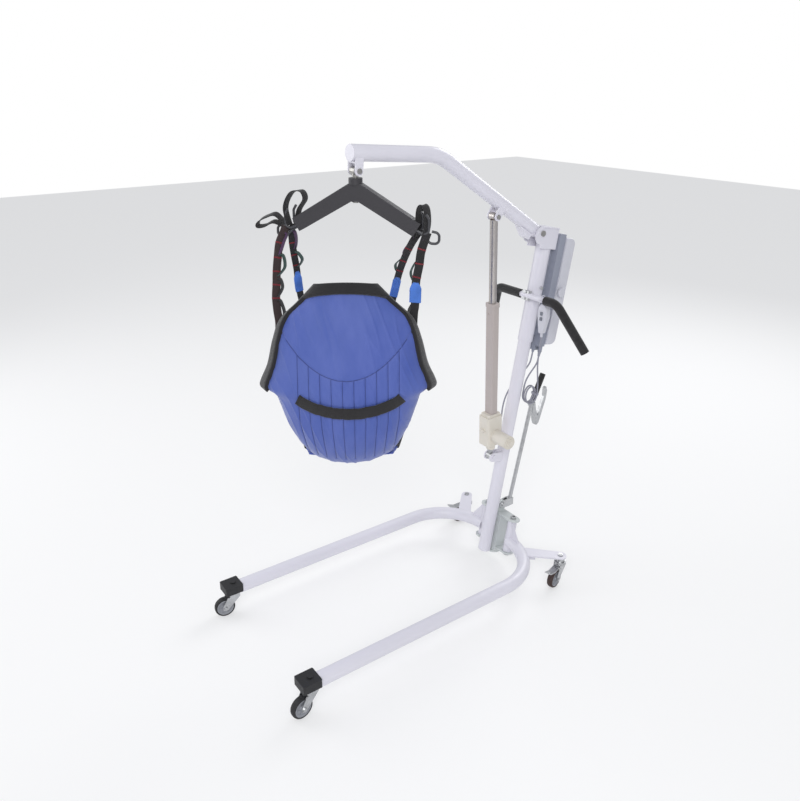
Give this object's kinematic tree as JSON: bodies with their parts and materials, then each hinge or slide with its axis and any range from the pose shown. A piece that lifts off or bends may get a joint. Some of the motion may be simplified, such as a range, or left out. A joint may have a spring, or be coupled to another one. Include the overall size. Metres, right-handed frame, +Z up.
{
  "type": "patient lift hoist",
  "caption": "Mobile patient lift: leaning mast on a wheeled base with spreading legs, electric actuator, hinged boom, swivelling spreader bar and a padded sling.",
  "frame": {"origin": "on the floor, at the centre of the bounding box", "axes": "+Z up, -Y the way the legs point and the boom reaches, +X the operator's left"},
  "size_m": [0.64, 1.3907, 1.6825],
  "materials": {
    "white_paint": "white powder coat",
    "base_paint": "light grey powder coat",
    "zinc": "bright zinc plate",
    "steel": "turned steel",
    "black_paint": "black powder coat",
    "black_wire": "black coated wire",
    "case_grey": "beige grey moulding",
    "motor_cream": "cream moulding",
    "box_light": "light grey moulding",
    "box_dark": "mid grey moulding",
    "black_plastic": "black moulding",
    "foam": "closed-cell foam",
    "tyre": "rubber tread on a grey hub",
    "cable": "smooth grey sheath",
    "button": "soft-touch key",
    "blue_fabric": "quilted blue polyester with black binding",
    "webbing": "black woven webbing"
  },
  "bodies": {
    "base": {"base_frame": "base_paint", "mast_lower": "white_paint", "mast_upper": "white_paint", "mast_bracket": "white_paint", "mast_fasteners": "zinc", "leg_pivot_bolts": "zinc", "boom_pivot_bolt": "steel", "actuator_mount": "white_paint", "handlebar": "white_paint", "grip_left": "foam", "grip_right": "foam", "control_bracket": "box_dark", "cable_plugs": "box_dark", "handset_body": "box_light", "handset_cable": "cable", "motor_cable": "cable", "cable_tie": "cable"},
    "battery": {"battery_unit": "box_light"},
    "stop": {"stop_button": "box_light"},
    "key_up": {"button_up": "button"},
    "key_down": {"button_down": "button"},
    "boom": {"boom_tube": "white_paint", "boom_cap": "white_paint", "boom_saddle": "white_paint", "hanger_clevis": "white_paint", "rod_screws": "steel", "hanger_pin": "steel"},
    "hanger": {"hanger_stem": "steel"},
    "spreader": {"spreader_bar": "black_paint", "hooks_left": "black_wire", "hooks_right": "black_wire", "sling_body": "blue_fabric", "sling_handle": "webbing", "straps_left": "webbing", "straps_right": "webbing"},
    "actuator": {"gearbox": "motor_cream", "actuator_eye": "zinc", "actuator_motor": "motor_cream", "actuator_case": "case_grey"},
    "rod": {"actuator_rod": "steel"},
    "left_leg": {"leg_left": "white_paint", "leg_cap_left": "black_plastic", "caster_studs_left": "zinc"},
    "right_leg": {"leg_right": "white_paint", "leg_cap_right": "black_plastic", "caster_studs_right": "zinc"},
    "lever": {"lever_rod": "zinc", "lever_grip": "foam"},
    "catch": {"lever_catch": "zinc"},
    "front_left_caster": {"front_left_fork": "zinc"},
    "front_left_roller": {"front_left_wheel": "tyre"},
    "front_right_caster": {"front_right_fork": "zinc"},
    "front_right_roller": {"front_right_wheel": "tyre"},
    "rear_left_caster": {"rear_left_fork": "zinc"},
    "rear_left_roller": {"rear_left_wheel": "tyre"},
    "rear_left_pedal": {"rear_left_brake": "zinc"},
    "rear_right_caster": {"rear_right_fork": "zinc"},
    "rear_right_roller": {"rear_right_wheel": "tyre"},
    "rear_right_pedal": {"rear_right_brake": "zinc"}
  },
  "joints": [
    {"name": "boom_lift", "type": "hinge", "parent": "base", "child": "boom", "pos_m": [0, 0.53404, 1.33656], "axis": [-1, 0, 0], "range_deg": [-45, 8]},
    {"name": "actuator_tilt", "type": "hinge", "parent": "base", "child": "actuator", "pos_m": [0, 0.36283, 0.47834], "axis": [-1, 0, 0], "range_deg": [-1.2, 0.6]},
    {"name": "rod_slide", "type": "slide", "parent": "actuator", "child": "rod", "axis": [0, -0.041, 0.9992], "range_m": [-0.17, 0.032]},
    {"name": "hanger_swing", "type": "hinge", "parent": "boom", "child": "hanger", "pos_m": [0, -0.23574, 1.60508], "axis": [-1, 0, 0], "range_deg": [-9, 46]},
    {"name": "spreader_swivel", "type": "hinge", "parent": "hanger", "child": "spreader", "pos_m": [0, -0.23574, 1.54848], "axis": [0, 0, 1], "continuous": true},
    {"name": "leg_spread_left", "type": "hinge", "parent": "base", "child": "left_leg", "pos_m": [0.075, 0.41644, 0.105], "axis": [0, 0.1788, 0.9839], "range_deg": [0, 10]},
    {"name": "leg_spread_right", "type": "hinge", "parent": "base", "child": "right_leg", "pos_m": [-0.075, 0.41644, 0.105], "axis": [0, 0.1788, 0.9839], "range_deg": [-10, 0]},
    {"name": "lever_pull", "type": "hinge", "parent": "base", "child": "lever", "pos_m": [0, 0.43852, 0.23489], "axis": [-1, 0, 0], "range_deg": [0, 20]},
    {"name": "catch_squeeze", "type": "hinge", "parent": "lever", "child": "catch", "pos_m": [0, 0.57071, 0.64609], "axis": [1, 0, 0], "range_deg": [0, 5], "stiffness_Nm_per_rad": 3, "springref_deg": -5.73},
    {"name": "front_left_swivel", "type": "hinge", "parent": "left_leg", "child": "front_left_caster", "pos_m": [0.288, -0.62, 0.099], "axis": [0, 0, 1], "continuous": true},
    {"name": "front_left_roll", "type": "hinge", "parent": "front_left_caster", "child": "front_left_roller", "pos_m": [0.29329, -0.65763, 0.0375], "axis": [0.9903, 0.1392, 0], "continuous": true},
    {"name": "front_right_swivel", "type": "hinge", "parent": "right_leg", "child": "front_right_caster", "pos_m": [-0.288, -0.62, 0.099], "axis": [0, 0, 1], "continuous": true},
    {"name": "front_right_roll", "type": "hinge", "parent": "front_right_caster", "child": "front_right_roller", "pos_m": [-0.2946, -0.65742, 0.0375], "axis": [0.9848, -0.1736, 0], "continuous": true},
    {"name": "rear_left_swivel", "type": "hinge", "parent": "left_leg", "child": "rear_left_caster", "pos_m": [0.282, 0.496, 0.099], "axis": [0, 0, 1], "continuous": true},
    {"name": "rear_left_roll", "type": "hinge", "parent": "rear_left_caster", "child": "rear_left_roller", "pos_m": [0.29119, 0.45913, 0.0375], "axis": [0.9703, 0.2419, 0], "continuous": true},
    {"name": "rear_left_brake_press", "type": "hinge", "parent": "rear_left_caster", "child": "rear_left_pedal", "pos_m": [0.28684, 0.47659, 0.082], "axis": [0.9703, 0.2419, 0], "range_deg": [0, 7]},
    {"name": "rear_right_swivel", "type": "hinge", "parent": "right_leg", "child": "rear_right_caster", "pos_m": [-0.282, 0.496, 0.099], "axis": [0, 0, 1], "continuous": true},
    {"name": "rear_right_roll", "type": "hinge", "parent": "rear_right_caster", "child": "rear_right_roller", "pos_m": [-0.28729, 0.45837, 0.0375], "axis": [0.9903, -0.1392, 0], "continuous": true},
    {"name": "rear_right_brake_press", "type": "hinge", "parent": "rear_right_caster", "child": "rear_right_pedal", "pos_m": [-0.28478, 0.47619, 0.082], "axis": [0.9903, -0.1392, 0], "range_deg": [0, 7]},
    {"name": "battery_lift", "type": "slide", "parent": "base", "child": "battery", "axis": [0, 0.1788, 0.9839], "range_m": [0, 0.06]},
    {"name": "stop_press", "type": "slide", "parent": "battery", "child": "stop", "axis": [-1, 0, 0], "range_m": [0, 0.0035], "stiffness_N_per_m": 900, "springref_m": -0.004},
    {"name": "key_up_press", "type": "slide", "parent": "base", "child": "key_up", "axis": [0, 1, 0], "range_m": [0, 0.0012], "stiffness_N_per_m": 400, "springref_m": -0.0015},
    {"name": "key_down_press", "type": "slide", "parent": "base", "child": "key_down", "axis": [0, 1, 0], "range_m": [0, 0.0012], "stiffness_N_per_m": 400, "springref_m": -0.0015}
  ],
  "couplings": [
    {"joint": "actuator_tilt", "follows": "boom_lift", "ratio": 0.02},
    {"joint": "rod_slide", "follows": "boom_lift", "m_per_rad": 0.2125},
    {"joint": "hanger_swing", "follows": "boom_lift", "ratio": -1},
    {"joint": "leg_spread_right", "follows": "leg_spread_left", "ratio": -1},
    {"joint": "lever_pull", "follows": "leg_spread_left", "ratio": 2}
  ]
}
